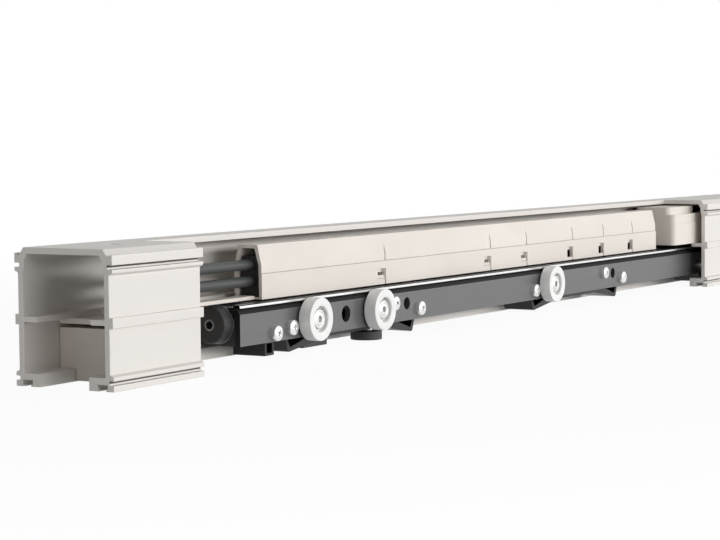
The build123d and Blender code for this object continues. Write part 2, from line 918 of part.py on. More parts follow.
def nodes():
    """Every sub-part by name: one solid, or a list of separate ones."""
    parts = {
        "track_beam": track_beam(),
        "stop_screws": stop_screws(),
        "stator_brackets": stator_brackets(),
        "control_base": control_base(),
        "control_lid": control_lid(),
        "control_board": control_board(),
        "control_capacitors": control_capacitors(),
        "control_terminals": control_terminals(),
        "power_cable_upper": power_cable(upper_cable_height),
        "power_cable_lower": power_cable(lower_cable_height),
        "cable_plug": cable_plug(),
        "cable_socket": cable_socket(),
        "carriage_bar": carriage_bar(),
        "back_iron": back_iron(),
        "magnets": magnets(),
        "buffer_screws": buffer_screws(),
        "shoe_block": shoe_block(),
        "lock_block": lock_block(),
        "carriage_screws": carriage_screws(),
        "axle_bolts": axle_bolts(),
        "guide_pins": guide_pins(),
        "guide_roller_front": guide_roller(0),
        "guide_roller_back": guide_roller(truck_count - 1),
    }
    for side, name in enumerate(("left", "right")):
        parts[f"stop_block_{name}"] = stop_block(side)
        parts[f"stop_clamp_{name}"] = stop_clamp(side)
        parts[f"buffer_{name}"] = buffer(side)
        parts[f"buffer_block_{name}"] = buffer_block(side)
    for number, x0 in enumerate(stator_starts, 1):
        parts[f"stator_base_{number}"] = stator_base(x0)
        parts[f"stator_lid_{number}"] = stator_lid(x0)
        parts[f"stator_core_{number}"] = stator_core(x0)
        parts[f"stator_coils_{number}"] = stator_coils(x0)
        parts[f"driver_board_{number}"] = driver_board(x0)
    for number in range(truck_count):
        parts[f"hanger_{number + 1}"] = hanger(number)
    for number, x in enumerate(roller_places, 1):
        for side, name in ((-1, "front"), (1, "back")):
            parts[f"roller_{number}_{name}"] = roller(x, side)
            parts[f"bearing_{number}_{name}"] = bearing(x, side)
    return parts


os.makedirs("parts", exist_ok=True)
to_middle = Pos(-beam_length / 2, 0, 0)
for name, shape in nodes().items():
    solids = shape if isinstance(shape, list) else [shape]
    placed = Compound([solid for piece in solids for solid in (to_middle * piece).solids()])
    placed.label = name
    export_step(placed, f"parts/{name}.step")
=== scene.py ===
# %% [markdown]
# A sliding door operator: an aluminium beam, open at a window, with a linear motor in its upper chamber
# and, below it, the carriage that the door hangs on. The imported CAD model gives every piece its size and
# place. This lesson dresses it: it rounds the edges that tools, dies and moulds leave round, turns the
# rollers, bolts and buffers in full, and gives each piece the finish of its real material.

import json
import math
import random

import bmesh
import bpy
from mathutils import Matrix, Vector

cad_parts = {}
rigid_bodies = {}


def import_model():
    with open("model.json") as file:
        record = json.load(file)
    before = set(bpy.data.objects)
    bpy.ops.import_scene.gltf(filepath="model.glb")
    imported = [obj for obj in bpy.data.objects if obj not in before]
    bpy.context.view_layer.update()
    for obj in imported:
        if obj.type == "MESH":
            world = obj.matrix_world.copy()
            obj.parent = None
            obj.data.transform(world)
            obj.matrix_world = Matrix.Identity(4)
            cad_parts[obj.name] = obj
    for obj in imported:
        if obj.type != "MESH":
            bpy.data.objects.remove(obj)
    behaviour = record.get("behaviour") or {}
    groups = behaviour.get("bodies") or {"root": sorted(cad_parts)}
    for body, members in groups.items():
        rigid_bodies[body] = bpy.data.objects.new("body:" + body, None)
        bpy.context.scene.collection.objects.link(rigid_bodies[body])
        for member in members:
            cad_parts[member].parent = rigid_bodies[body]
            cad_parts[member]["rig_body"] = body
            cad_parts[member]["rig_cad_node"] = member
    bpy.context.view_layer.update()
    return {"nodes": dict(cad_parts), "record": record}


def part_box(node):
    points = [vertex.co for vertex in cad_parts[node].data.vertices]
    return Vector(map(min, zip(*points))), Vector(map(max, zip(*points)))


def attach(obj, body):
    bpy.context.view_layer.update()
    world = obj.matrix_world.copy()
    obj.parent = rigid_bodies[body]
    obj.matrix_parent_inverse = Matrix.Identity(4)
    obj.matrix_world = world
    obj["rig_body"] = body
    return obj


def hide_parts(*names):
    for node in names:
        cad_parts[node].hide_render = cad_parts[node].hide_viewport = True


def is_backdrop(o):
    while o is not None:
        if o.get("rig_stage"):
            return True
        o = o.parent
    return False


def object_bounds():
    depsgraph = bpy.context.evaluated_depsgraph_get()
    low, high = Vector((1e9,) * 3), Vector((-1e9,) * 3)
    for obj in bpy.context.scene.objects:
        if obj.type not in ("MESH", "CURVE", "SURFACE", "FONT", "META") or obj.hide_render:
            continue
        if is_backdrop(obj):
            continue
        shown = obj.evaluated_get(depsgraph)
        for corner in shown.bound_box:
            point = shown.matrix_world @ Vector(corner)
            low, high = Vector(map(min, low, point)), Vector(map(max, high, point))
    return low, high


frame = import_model()
MM = 0.001

# %% [markdown]
# The camera stands 0.9 m to the front left of the beam's end and 5 cm above its top, with a long lens. It
# could be turned by hand until the picture looks right. Here its place and angles were solved from the
# corners of the beam's end section and window, so that the render and the photograph have the same
# perspective and each size can be read off. It is rolled by half a degree.

# %% Camera
LENS_MM = 103.7
SENSOR_MM = 36.0
CAMERA_PLACE = Vector((-1.48146, -0.59768, 0.11312))
CAMERA_YAW = math.radians(58.93)
CAMERA_PITCH = math.radians(3.68)
CAMERA_ROLL = -0.00858


def place_camera():
    """Looks along +Y turned towards +X by the yaw, and down by the pitch, then rolls about that line."""
    level = math.cos(CAMERA_PITCH)
    ahead = Vector((math.sin(CAMERA_YAW) * level, math.cos(CAMERA_YAW) * level, -math.sin(CAMERA_PITCH)))
    right = Vector((math.cos(CAMERA_YAW), -math.sin(CAMERA_YAW), 0))
    up = right.cross(ahead)
    rolled_right = right * math.cos(CAMERA_ROLL) + up * math.sin(CAMERA_ROLL)
    rolled_up = up * math.cos(CAMERA_ROLL) - right * math.sin(CAMERA_ROLL)
    bpy.ops.object.camera_add(location=CAMERA_PLACE)
    camera = bpy.context.object
    turn = Matrix((rolled_right, rolled_up, -ahead)).transposed()
    camera.rotation_euler = turn.to_euler()
    camera.data.lens = LENS_MM
    camera.data.sensor_width = SENSOR_MM
    bpy.context.scene.camera = camera
    return camera


camera = place_camera()
print("camera at", [round(value, 3) for value in camera.location])

# %% [markdown]
# A shader takes linear colours, and swatches are written as sRGB hex, so one function turns one into the
# other. A second one adds a shader node with its settings and links, and keeps each recipe short. A picture
# could carry the grain of a surface, but noise on Object coordinates has a real size in millimetres, has no
# seams and stays on its piece when that moves.

# %% Colour and shader helpers
SRGB_KNEE = 0.04045
SRGB_SLOPE = 12.92
SRGB_LIFT = 0.055
SRGB_POWER = 2.4
NOISE_LOW = 0.3
NOISE_HIGH = 0.7
# A Mix node has sockets for numbers, vectors and colours: these are the colours' two inputs and result.
MIX_INPUTS = (6, 7)
MIX_RESULT = 2


def linear(colour):
    """An sRGB hex colour as the linear RGBA that a shader takes."""
    shares = [int(colour[at:at + 2], 16) / 255 for at in (1, 3, 5)]
    curved = [((share + SRGB_LIFT) / (1 + SRGB_LIFT)) ** SRGB_POWER for share in shares]
    return [share / SRGB_SLOPE if share <= SRGB_KNEE else bent for share, bent in zip(shares, curved)] + [1]


def add_node(tree, kind, inputs=None, **settings):
    """Adds one shader node, with its settings and the values or links of its inputs."""
    made = tree.nodes.new(kind)
    for key, value in settings.items():
        setattr(made, key, value)
    for key, value in (inputs or {}).items():
        if isinstance(value, bpy.types.NodeSocket):
            tree.links.new(value, made.inputs[key])
        else:
            made.inputs[key].default_value = value
    return made


def new_finish(name, **shader):
    """A material with one Principled shader: returns it, its tree, the shader and Object coordinates."""
    material = bpy.data.materials.new(name)
    material.use_nodes = True
    tree = material.node_tree
    skin = tree.nodes["Principled BSDF"]
    for key, value in shader.items():
        skin.inputs[key.replace("_", " ")].default_value = value
    return material, tree, skin, add_node(tree, "ShaderNodeTexCoord").outputs["Object"]


def pattern(tree, place, sizes_mm, detail=2.0):
    """Noise whose blotches have the given sizes along X, Y and Z, in millimetres."""
    scale = [1 / (size * MM) for size in sizes_mm]
    scaled = add_node(tree, "ShaderNodeMapping", {"Vector": place, "Scale": scale})
    inputs = {"Vector": scaled.outputs["Vector"], "Scale": 1.0, "Detail": detail}
    return add_node(tree, "ShaderNodeTexNoise", inputs).outputs["Fac"]


def spread(tree, value, low, high):
    """Turns a noise value, which is mostly from 0.3 to 0.7, into one from low to high."""
    inputs = {"Value": value, "From Min": NOISE_LOW, "From Max": NOISE_HIGH, "To Min": low, "To Max": high}
    return add_node(tree, "ShaderNodeMapRange", inputs).outputs["Result"]


def blend_colours(tree, value, first, second):
    """A colour between two, each a hex swatch or a node's colour, chosen by a value from 0 to 1."""
    mix = add_node(tree, "ShaderNodeMix", data_type="RGBA")
    tree.links.new(value, mix.inputs["Factor"])
    for at, colour in zip(MIX_INPUTS, (first, second)):
        if isinstance(colour, str):
            mix.inputs[at].default_value = linear(colour)
        else:
            tree.links.new(colour, mix.inputs[at])
    return mix.outputs[MIX_RESULT]


def relief(tree, skin, height, depth_mm):
    """Feeds a height pattern to the shader as relief of the given depth."""
    bump = add_node(tree, "ShaderNodeBump", {"Height": height, "Distance": depth_mm * MM, "Strength": 1.0})
    tree.links.new(bump.outputs["Normal"], skin.inputs["Normal"])


print("middle grey in linear light", round(linear("#808080")[0], 3))

# %% [markdown]
# The beam and the carriage bar are extruded. A die leaves faint lines along the whole length, under a
# millimetre to a few millimetres wide, and anodising keeps them while it makes the skin satin. Modelling
# them would take far too many faces, so they are noise, drawn out more than a hundredfold along X. They
# show in the gloss more than in the colour. The bar's bevels below the back iron and its sawn ends are
# coloured dark and made rougher, as painted shade, and the upper corners of the beam's narrow slots are
# coloured dark as painted shadow under the lips.

# %% Extruded finishes
SOFT_STEP_MM = 0.05
END_LAP_MM = 0.1
DIE_LINES_MM = (400, 0.7, 0.7)
DIE_LINES_DETAIL = 3.0
DIE_BANDS_MM = (900, 6.0, 6.0)
STREAK_TINT = (-0.4, 1.6)
STREAK_GLOSS = 0.06
DIE_LINE_DEPTH_MM = 0.01
# Painted shade: the bar's bevels past BEVEL_FOOT_MM and its sawn ends are coloured dark, with this rougher
# gloss.
SHADED_ROUGHNESS = 0.3
BEVEL_FOOT_MM = 24.75
# Bands in the upper corners of the beam's slots, as (reach from the middle plane, height), coloured dark as
# painted shadow under the lips.
CLIP_SLOT_SHADE_MM = ((25.2, 27.7), (55.7, 56.9))
FOOT_SLOT_SHADE_MM = ((25.7, 27.7), (3.7, 4.9))


def past(tree, place, axis, limit_mm, way):
    """0 before a limit along an axis and 1 past it, with a soft step of a tenth of a millimetre."""
    along = add_node(tree, "ShaderNodeSeparateXYZ", {"Vector": place}).outputs[axis]
    reach = way * SOFT_STEP_MM
    limits = {"Value": along, "From Min": (limit_mm - reach) * MM, "From Max": (limit_mm + reach) * MM}
    return add_node(tree, "ShaderNodeMapRange", limits).outputs["Result"]


def ends_of(node):
    """Both ends of a CAD piece along X, each as (axis, limit in mm, way)."""
    low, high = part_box(node)
    return ("X", low.x / MM + END_LAP_MM, -1), ("X", high.x / MM - END_LAP_MM, 1)


def in_slot(tree, place, reach_mm, height_mm):
    """1 in a slot on either side of the middle plane, given by its reach from that plane and its height."""
    axes = add_node(tree, "ShaderNodeSeparateXYZ", {"Vector": place}).outputs
    away = add_node(tree, "ShaderNodeMath", {0: axes["Y"]}, operation="ABSOLUTE").outputs["Value"]
    shares = []
    for along, (low, high) in ((away, reach_mm), (axes["Z"], height_mm)):
        limits = {0: along, 1: (low + high) / 2 * MM, 2: (high - low) / 2 * MM}
        shares.append(add_node(tree, "ShaderNodeMath", limits, operation="COMPARE").outputs["Value"])
    both = {0: shares[0], 1: shares[1]}
    return add_node(tree, "ShaderNodeMath", both, operation="MULTIPLY").outputs["Value"]


def extruded(name, pale, dark, painted_shade_colour, metallic, roughness, shaded_parts=(), slots=()):
    """Anodised aluminium with die lines; painted shade and rougher gloss past each shaded part (axis,
    limit, way), and painted shade in each slot.
    """
    material, tree, skin, place = new_finish(name, Metallic=metallic)
    lines = pattern(tree, place, DIE_LINES_MM, DIE_LINES_DETAIL)
    bands = pattern(tree, place, DIE_BANDS_MM)
    streaks = add_node(tree, "ShaderNodeMath", {0: lines, 1: bands}, operation="MULTIPLY").outputs["Value"]
    colour = blend_colours(tree, spread(tree, streaks, *STREAK_TINT), dark, pale)
    gloss = spread(tree, lines, roughness - STREAK_GLOSS, roughness + STREAK_GLOSS)
    # Painted shade: the colour turns dark past each shaded part and in each slot, and past each part the
    # gloss gets rougher.
    for part in shaded_parts:
        shade_mask = past(tree, place, *part)
        colour = blend_colours(tree, shade_mask, colour, painted_shade_colour)
        rougher = {0: shade_mask, 1: SHADED_ROUGHNESS, 2: gloss}
        gloss = add_node(tree, "ShaderNodeMath", rougher, operation="MULTIPLY_ADD").outputs["Value"]
    for slot in slots:
        colour = blend_colours(tree, in_slot(tree, place, *slot), colour, painted_shade_colour)
    tree.links.new(colour, skin.inputs["Base Color"])
    tree.links.new(gloss, skin.inputs["Roughness"])
    relief(tree, skin, lines, DIE_LINE_DEPTH_MM)
    return material


# The beam's slot bands are coloured dark as painted shadow.
anodised_beam = extruded(
    "anodised_beam_painted_slot_shade", "#E7E3DF", "#DEDAD5", "#4E4A46", metallic=0.18, roughness=0.5,
    slots=(CLIP_SLOT_SHADE_MM, FOOT_SLOT_SHADE_MM),
)
# The bar is coloured dark above its bevel's foot and at both ends, as painted shade.
black_anodised = extruded(
    "black_anodised_bar_painted_shade", "#808081", "#6C6C6D", "#121211", metallic=0.55, roughness=0.34,
    shaded_parts=(("Z", BEVEL_FOOT_MM, 1), *ends_of("carriage_bar")),
)
print("extruded finishes", anodised_beam.name, black_anodised.name)

# %% [markdown]
# The casings, the control box and the end stops are moulded ABS, the tyres acetal and the buffers rubber.
# Their moulds were spark eroded, which leaves an even, very fine grain of about 0.2 mm. It is drawn at
# 0.5 mm and more here so that it survives a small render, and a slow cloud of a few centimetres keeps broad
# faces from looking like a flat fill.

# %% Moulded finishes
MOULD_CLOUD_MM = (60, 40, 30)
MOULD_IOR = 1.53


def even(size_mm):
    """The same size along X, Y and Z."""
    return (size_mm, size_mm, size_mm)


def patterned(name, colours, roughness, tint, grain=None, depth_mm=0.0, **shader):
    """A finish of two colours mixed by the pattern tint. A second pattern, grain, or else tint again, sets
    the gloss between two values of roughness and gives the relief. Both are (sizes in mm, detail)."""
    material, tree, skin, place = new_finish(name, **shader)
    tint_noise = pattern(tree, place, *tint)
    grain_noise = pattern(tree, place, *grain) if grain else tint_noise
    colour = blend_colours(tree, spread(tree, tint_noise, 0, 1), *colours)
    tree.links.new(colour, skin.inputs["Base Color"])
    tree.links.new(spread(tree, grain_noise, *roughness), skin.inputs["Roughness"])
    if depth_mm:
        relief(tree, skin, grain_noise, depth_mm)
    return material


def moulded(name, pale, dark, roughness, grain_mm=0.5, depth_mm=0.02):
    """Moulded plastic with a spark-eroded grain."""
    return patterned(
        name, (dark, pale), roughness, tint=(MOULD_CLOUD_MM,), grain=(even(grain_mm), 3.0),
        depth_mm=depth_mm, IOR=MOULD_IOR,
    )


ivory_abs = moulded("ivory_abs", "#EBE4DB", "#E6DED6", roughness=(0.45, 0.57))
beige_abs = moulded("beige_abs", "#EBE3DB", "#E1D9D1", roughness=(0.5, 0.62))
black_abs = moulded("black_abs", "#141415", "#0E0E0F", roughness=(0.47, 0.59))
# Rubber is duller than ABS, and its grain is coarser and deeper.
buffer_rubber = moulded("buffer_rubber", "#242425", "#1B1B1C", (0.57, 0.69), grain_mm=0.7, depth_mm=0.03)
# Acetal is waxy: nearly white, glossier, and almost smooth.
white_acetal = moulded("white_acetal", "#FBFBFA", "#F4F3F2", (0.27, 0.39), grain_mm=0.8, depth_mm=0.006)
mouldings = (ivory_abs, beige_abs, black_abs, buffer_rubber, white_acetal)
print("moulded finishes", [finish.name for finish in mouldings])

# %% [markdown]
# The hangers and the lock block are bent and milled steel with a thin black coat. The coat pulls together
# as it bakes, so it has a fine orange peel of about a millimetre and a soft gloss. The fasteners are zinc
# plated, some bright and some tumbled dull, and the buffers' tubular screws are only burnished. The back
# iron is plated too, and its top and its ends are coloured near black as painted shade, which leaves two
# bright edges. The magnets on it are dipped in black epoxy.

# %% Coated and plated steel
MOTTLE = (even(3.0), 4.0)
SCRATCHES = ((6.0, 0.3, 0.3), 3.0)
SCRATCH_GLOSS = 0.07
SCRATCH_DEPTH_MM = 0.005
# The back iron's top, from this lap below its top face, and its ends are coloured near black as painted
# shade.
STRIP_SHADE_LAP_MM = 0.45
STRIP_SHADE = "#101010"


def bare_metal(name, dark, pale, roughness):
    """Plated or burnished steel, faintly mottled, with fine scratches along X."""
    glosses = (roughness - SCRATCH_GLOSS, roughness + SCRATCH_GLOSS)
    return patterned(name, (dark, pale), glosses, MOTTLE, SCRATCHES, SCRATCH_DEPTH_MM, Metallic=1.0)


# Used to paint shade: a dark colour laid past each part.
def darkened(material, parts, shade_colour):
    """Colours a finish past each part, given as (axis, limit in mm, way)."""
    tree = material.node_tree
    skin = tree.nodes["Principled BSDF"]
    colour = skin.inputs["Base Color"].links[0].from_socket
    place = add_node(tree, "ShaderNodeTexCoord").outputs["Object"]
    for part in parts:
        colour = blend_colours(tree, past(tree, place, *part), colour, shade_colour)
    tree.links.new(colour, skin.inputs["Base Color"])
    return material


black_steel = patterned(
    "black_coated_steel", ("#0A0A0B", "#101012"), (0.36, 0.5), tint=(even(18),), grain=(even(0.9), 1.0),
    depth_mm=0.02, IOR=1.42,
)
zinc_steel = bare_metal("zinc_plated_steel", "#DEDEDB", "#EEEEEE", roughness=0.28)
tumbled_zinc = bare_metal("tumbled_zinc", "#C6C6C3", "#D6D6D4", roughness=0.5)
burnished_steel = bare_metal("burnished_steel", "#85878A", "#98999C", roughness=0.34)
strip_top_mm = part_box("back_iron")[1].z / MM
# The strip's top and ends are coloured near black as painted shade.
bright_strip = darkened(
    bare_metal("bright_zinc_strip_painted_shade", "#F6F6F5", "#FEFEFE", roughness=0.2),
    (("Z", strip_top_mm - STRIP_SHADE_LAP_MM, 1), *ends_of("back_iron")), STRIP_SHADE,
)
epoxy_magnet = patterned(
    "epoxy_coated_magnet", ("#09090A", "#111112"), (0.4, 0.55), tint=(even(4.0), 3.0), IOR=1.5,
)
print("back iron inked above", round(strip_top_mm - STRIP_SHADE_LAP_MM, 2), "mm")

# %% [markdown]
# What the casings hide is plainer, but it is finished too, for whoever opens them: stacked core sheets,
# windings coloured near black as painted shade, and a lacquered board. The motor cables have a grey
# sheath. Each is one pattern, drawn out along the real thing's sheets, turns, tracks or length.

# %% Inner finishes
# Electrical steel sheets of 0.5 mm, stacked along Y: their edges show as fine bands.
core_sheets = patterned(
    "stacked_core_sheets", ("#5B5B5D", "#8B8B8E"), (0.35, 0.5), tint=((300, 0.5, 300), 0.0), depth_mm=0.03,
    Metallic=0.8,
)
# Turns of 0.6 mm copper wire, stacked in Z, which show as ridges; their colour is near black with a copper
# tint, painted shade inside the casing.
windings = patterned(
    "windings_in_painted_shade", ("#0C0A09", "#1A1412"), (0.5, 0.65), tint=((80, 80, 0.6), 0.0), depth_mm=0.1,
    Coat_Weight=0.2,
)
# Green lacquer over copper tracks that run along the board.
board = patterned(
    "lacquered_board", ("#0E3B24", "#1C6B43"), (0.25, 0.35), tint=((25, 1.2, 25), 1.0), depth_mm=0.04,
    IOR=1.5, Coat_Weight=0.4,
)
# Grey PVC, drawn along X, with faint streaks and dust.
sheath = patterned(
    "cable_sheath", ("#3C3E3E", "#494B4B"), (0.45, 0.6), tint=((40, 0.8, 0.8), 3.0), depth_mm=0.02, IOR=1.5,
)
print("inner finishes", [finish.name for finish in (core_sheets, windings, board, sheath)])

# %% [markdown]
# The record names a material slot for every node, so a finish is chosen by the slot. A few pieces share a
# slot but not a finish: the back iron, the bolts, the tubular screws and the bearings have their own.

# %% A finish for every node
FINISHES = {
    "satin_aluminium": anodised_beam,
    "ivory_plastic": ivory_abs,
    "beige_plastic": beige_abs,
    "black_anodised": black_anodised,
    "black_steel": black_steel,
    "bright_steel": zinc_steel,
    "magnet": epoxy_magnet,
    "roller_white": white_acetal,
    "black_plastic": black_abs,
    "buffer_rubber": buffer_rubber,
    "cable_grey": sheath,
    "laminated_steel": core_sheets,
    "copper": windings,
    "circuit_board": board,
}
NODE_FINISHES = {"back_iron": bright_strip, "axle_bolts": tumbled_zinc, "buffer_screws": burnished_steel}
SLOTS = {part["node"]: part["material_slot"] for part in frame["record"]["subparts"]}


def dress(piece, node):
    """Gives a piece the finish and slot of the CAD node that it stands for, and lets it ride with it."""
    piece.data.materials.clear()
    finish = tumbled_zinc if node.startswith("bearing") else FINISHES[SLOTS[node]]
    piece.data.materials.append(NODE_FINISHES.get(node, finish))
    if "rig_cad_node" not in piece:
        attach(piece, frame["nodes"][node]["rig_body"])


for node, shape in frame["nodes"].items():
    dress(shape, node)
print("finishes", len(FINISHES))

# %% [markdown]
# Modelling helpers. An operator acts on all that is selected, so each one starts by selecting a single
# piece, and faces or edges are then picked by where they are. A piece is settled at the end: modifiers
# and place go into its mesh, and its faces are shaded smooth where they meet at a shallow angle.

# %% Modelling helpers
WELD = 1e-6
FLAT_ANGLE = math.radians(0.3)
SMOOTH_ANGLE = math.radians(35)


def only(piece):
    """Selects one piece alone and makes it the active one."""
    bpy.ops.object.select_all(action="DESELECT")
    piece.select_set(True)
    bpy.context.view_layer.objects.active = piece


def pick(piece, kind, test):
    """In edit mode, selects the faces, edges or corners that pass the test, and nothing else."""
    bpy.ops.mesh.select_mode(type=kind)
    bpy.ops.mesh.select_all(action="DESELECT")
    mesh = bmesh.from_edit_mesh(piece.data)
    for item in {"FACE": mesh.faces, "EDGE": mesh.edges, "VERT": mesh.verts}[kind]:
        if test(item):
            item.select_set(True)
    bmesh.update_edit_mesh(piece.data)


def settle(piece):
    """Applies modifiers and place, and smooths the shallow edges while broad faces stay flat."""
    only(piece)
    for modifier in list(piece.modifiers):
        bpy.ops.object.modifier_apply(modifier=modifier.name)
    bpy.ops.object.transform_apply(location=True, rotation=True, scale=True)
    bpy.ops.object.shade_smooth_by_angle(angle=SMOOTH_ANGLE)
    piece.modifiers.new("flat_faces", "WEIGHTED_NORMAL").keep_sharp = True
    bpy.ops.object.modifier_apply(modifier="flat_faces")
    return piece


def round_edges(piece, width_mm, segments=2, corner=30):
    """Rounds every edge that turns by more than the corner angle, in degrees."""
    bevel = piece.modifiers.new("rounded", "BEVEL")
    bevel.width = width_mm * MM
    bevel.segments = segments
    bevel.limit_method = "ANGLE"
    bevel.angle_limit = math.radians(corner)
    return piece


def merged_copy(node, name):
    """A copy of a CAD piece with its loose triangles merged and its flat faces made whole."""
    piece = bpy.data.objects.new(name, frame["nodes"][node].data.copy())
    bpy.context.scene.collection.objects.link(piece)
    only(piece)
    bpy.ops.mesh.customdata_custom_splitnormals_clear()
    bpy.ops.object.mode_set(mode="EDIT")
    bpy.ops.mesh.select_all(action="SELECT")
    bpy.ops.mesh.remove_doubles(threshold=WELD)
    bpy.ops.mesh.dissolve_limited(angle_limit=FLAT_ANGLE)
    bpy.ops.object.mode_set(mode="OBJECT")
    return piece


def finished(node, width_mm):
    """A CAD piece with its edges rounded, standing for the node."""
    piece = settle(round_edges(merged_copy(node, f"{node}_finished"), width_mm))
    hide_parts(node)
    dress(piece, node)
    return piece


print("corners merged within", WELD, "m")

# %% [markdown]
# The beam. Its section is exact already, but a die has small radii and the saw's edges are broken, and
# those thin bright edges are what makes an extrusion look like metal. The CAD mesh is copied, its
# triangles are merged and its edges are rounded by a quarter of a millimetre.

# %% Beam
DIE_RADIUS_MM = 0.25
beam = finished("track_beam", DIE_RADIUS_MM)
print("beam faces", len(beam.data.polygons))

# %% [markdown]
# Moulded, bent and milled pieces have their own roundings: about 0.4 mm on most of them, more on the
# control box's lid, the cable plug, the shoe and the end stops' blocks, 0.3 mm on bent steel, and less on
# ground or turned pieces. One loop gives each its bevel.

# %% Rounded edges of the other pieces
EDGE_ROUNDS_MM = {
    "control_base": 0.4, "control_lid": 0.8,
    "stop_block_left": 0.5, "stop_block_right": 0.5, "stop_clamp_left": 0.4, "stop_clamp_right": 0.4,
    "stop_screws": 0.4, "stator_brackets": 0.4, "cable_plug": 0.9,
    "back_iron": 0.2, "magnets": 0.25,
    "buffer_block_left": 0.4, "buffer_block_right": 0.4,
    "hanger_1": 0.3, "hanger_2": 0.3, "hanger_3": 0.3, "shoe_block": 0.5, "lock_block": 0.4,
    "guide_pins": 0.2,
}
rounded = {node: finished(node, width) for node, width in EDGE_ROUNDS_MM.items()}
print("rounded pieces", len(rounded))

# %% [markdown]
# The casings, the bar and the screws' heads are cut next, as a milling cutter would cut them. Pushing faces
# in would do for one straight groove, but a boolean modifier cuts through any face that it meets. Its
# second mesh, the cutter, is removed afterwards.

# %% Cutting helpers
# How far a cutter reaches past the piece, so that it leaves no thin skin.
CUT_PAST_MM = 1


def use_cutter(piece, cutter, operation="DIFFERENCE"):
    """Cuts one piece out of another, or unites them, and removes the cutter."""
    cut = piece.modifiers.new("cut", "BOOLEAN")
    cut.object = cutter
    cut.operation = operation
    only(piece)
    bpy.ops.object.modifier_apply(modifier="cut")
    bpy.data.objects.remove(cutter)


def box_between(low, high):
    """A box between two corners, in metres."""
    middle = [(a + b) / 2 for a, b in zip(low, high)]
    bpy.ops.mesh.primitive_cube_add(size=1, location=middle)
    made = bpy.context.object
    made.scale = [b - a for a, b in zip(low, high)]
    bpy.ops.object.transform_apply(location=True, rotation=True, scale=True)
    return made


def box_mm(start, low_mm, high_mm):
    """A box between two corners in millimetres, moved along X by a start in metres."""
    low, high = (Vector(corner) * MM for corner in (low_mm, high_mm))
    low.x += start
    high.x += start
    return box_between(low, high)


casing_low, casing_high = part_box("stator_lid_1")
print("casing length", round((casing_high.x - casing_low.x) / MM, 1), "mm")

# %% [markdown]
# The stator casings are a base with windows and a lid that snaps into it. The fit is drawn finer here than
# in the CAD model. A thin slit parts the lid from the base. The windows and the hooks in them sit a little
# lower, the guide grooves are deeper and run out in the lid's slope, and a skirt below the lid stands
# behind the windows' upper part. Whole levels of corners are moved in the merged copies, and then the
# grooves are cut.

# %% Stator casings
CASING_ROUND_MM = 0.25
# Heights, as (in the CAD model, here).
WINDOW_TOP_MM = (40.6, 39.2)
WINDOW_FOOT_MM = (34.9, 33.4)
SEAM_MM = (43.6, 43.4)
HOOK_LEVELS_MM = ((35.1, 33.6), (36.9, 35.4), (38.8, 37.1))
VENT_FOOT_MM = 32.3
STATORS = (1, 2)
# Places along the casing, from its left end.
HOOKS_MM = (120.5, 249.0, 299.0)
VENTS_MM = (367.0, 416.5, 465.5)
WINDOW_HALF_MM = 3.8
HOOK_HALF_MM = 3.18
GROOVE_OFFSET_MM = 4.6
GROOVE_HALF_MM = 0.62
GROOVE_FLOOR_MM = -7.15
GROOVE_FRONT_MM = -20.0
GROOVE_FOOT_MM = 43.0
GROOVE_TOP_MM = 53.5
SKIRT_MM = ((1.0, -6.6, 37.0), (-2.0, -5.9, 45.0))
HOOK_SLOT_MM = ((-HOOK_HALF_MM, -6.7, 35.42), (HOOK_HALF_MM, -5.1, 37.08))
LEVEL_SLACK_MM = 0.01
WINDOW_SLACK_MM = 0.1


def move_level(piece, from_mm, to_mm, near=None):
    """Moves the corners at one height to another, everywhere or only near the given places in metres."""
    reach = (WINDOW_HALF_MM + WINDOW_SLACK_MM) * MM

    def moves(corner):
        at_level = abs(corner.co.z / MM - from_mm) < LEVEL_SLACK_MM
        return at_level and (near is None or any(abs(corner.co.x - place) < reach for place in near))

    only(piece)
    bpy.ops.object.mode_set(mode="EDIT")
    pick(piece, "VERT", moves)
    bpy.ops.transform.translate(value=(0, 0, (to_mm - from_mm) * MM))
    bpy.ops.object.mode_set(mode="OBJECT")


def shaped_lid(node):
    """The lid with its levels moved, a skirt below it and a slot through each hook."""
    low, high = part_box(node)
    lid = merged_copy(node, f"{node}_finished")
    for levels in HOOK_LEVELS_MM:
        move_level(lid, *levels)
    skirt_low, skirt_high = (Vector(corner) * MM for corner in SKIRT_MM)
    skirt_low.x += low.x
    skirt_high.x += high.x
    use_cutter(lid, box_between(skirt_low, skirt_high), "UNION")
    for place in HOOKS_MM:
        use_cutter(lid, box_mm(low.x + place * MM, *HOOK_SLOT_MM))
    return lid


def shaped_base(node, start):
    """The base with its levels moved, and its vents' feet a little lower than the latch windows'."""
    base = merged_copy(node, f"{node}_finished")
    for levels in (WINDOW_TOP_MM, WINDOW_FOOT_MM, SEAM_MM):
        move_level(base, *levels)
    move_level(base, WINDOW_FOOT_MM[1], VENT_FOOT_MM, [start + place * MM for place in VENTS_MM])
    return base


def cut_grooves(piece, start, foot_mm, top_mm):
    """Cuts a guide groove beside each window, between two heights."""
    for place in HOOKS_MM + VENTS_MM:
        groove = start + (place + GROOVE_OFFSET_MM) * MM
        low_mm = (-GROOVE_HALF_MM, GROOVE_FRONT_MM, foot_mm)
        use_cutter(piece, box_mm(groove, low_mm, (GROOVE_HALF_MM, GROOVE_FLOOR_MM, top_mm)))


